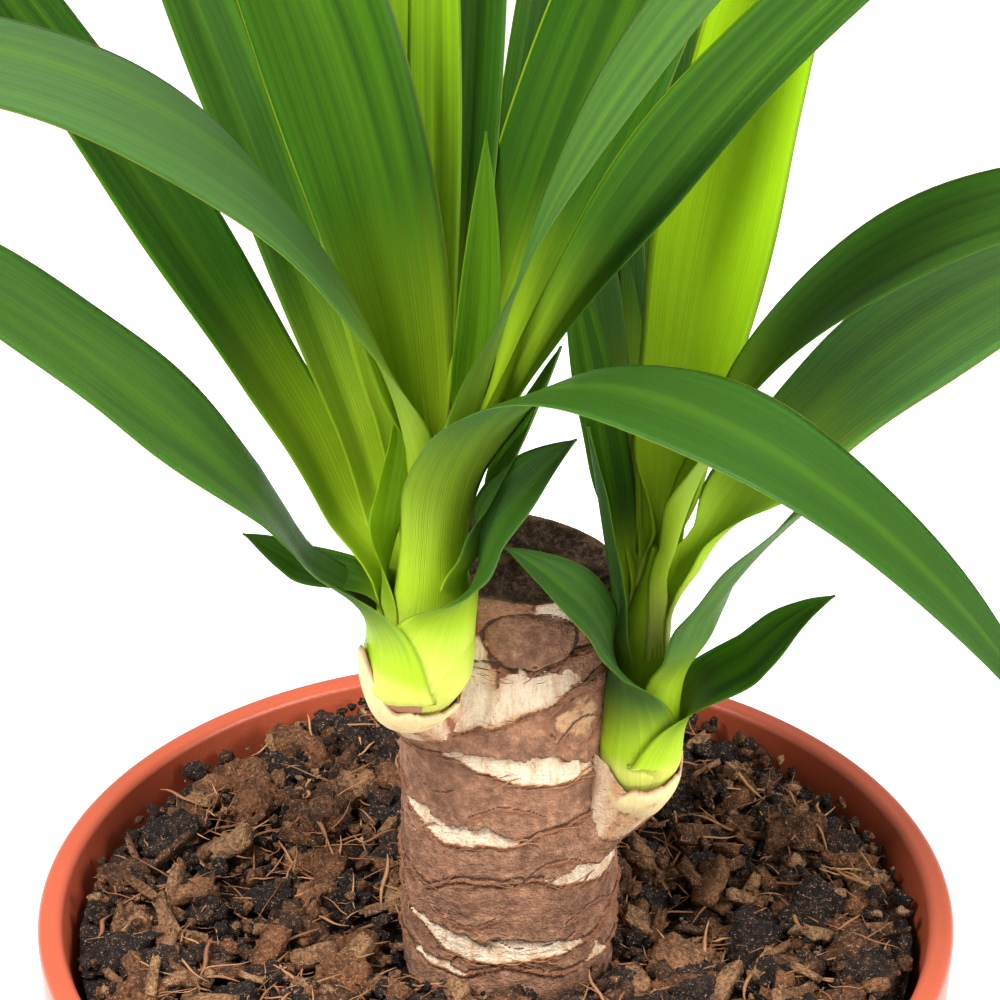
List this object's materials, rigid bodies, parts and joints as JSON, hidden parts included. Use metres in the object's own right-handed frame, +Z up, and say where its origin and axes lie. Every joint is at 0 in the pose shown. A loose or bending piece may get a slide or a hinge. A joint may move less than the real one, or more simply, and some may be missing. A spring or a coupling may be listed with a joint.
{
  "type": "potted yucca",
  "caption": "Young cane yucca in a round plastic nursery pot of soil: a thick sawn trunk with two shoots of arching sword-shaped leaves.",
  "frame": {"origin": "centre of the pot's flat foot, on the surface it stands on", "axes": "+Z up; +X to the right and +Y away, seen from the side with the larger shoot at the left"},
  "size_m": [0.3019, 0.268, 0.4123],
  "materials": {
    "pot_plastic": "moulded, slightly satin",
    "potting_soil": "loose bark and peat lumps, rough and dull",
    "cane_bark": "rough ringed bark",
    "leaf": "smooth leaf with fine long ribs, satin",
    "dry_sheath": "dry and papery"
  },
  "bodies": {
    "root": {"pot": "pot_plastic", "soil": "potting_soil", "cane": "cane_bark", "left_shoot": "leaf", "right_shoot": "leaf", "left_sheath": "dry_sheath", "right_sheath": "dry_sheath"}
  },
  "joints": []
}
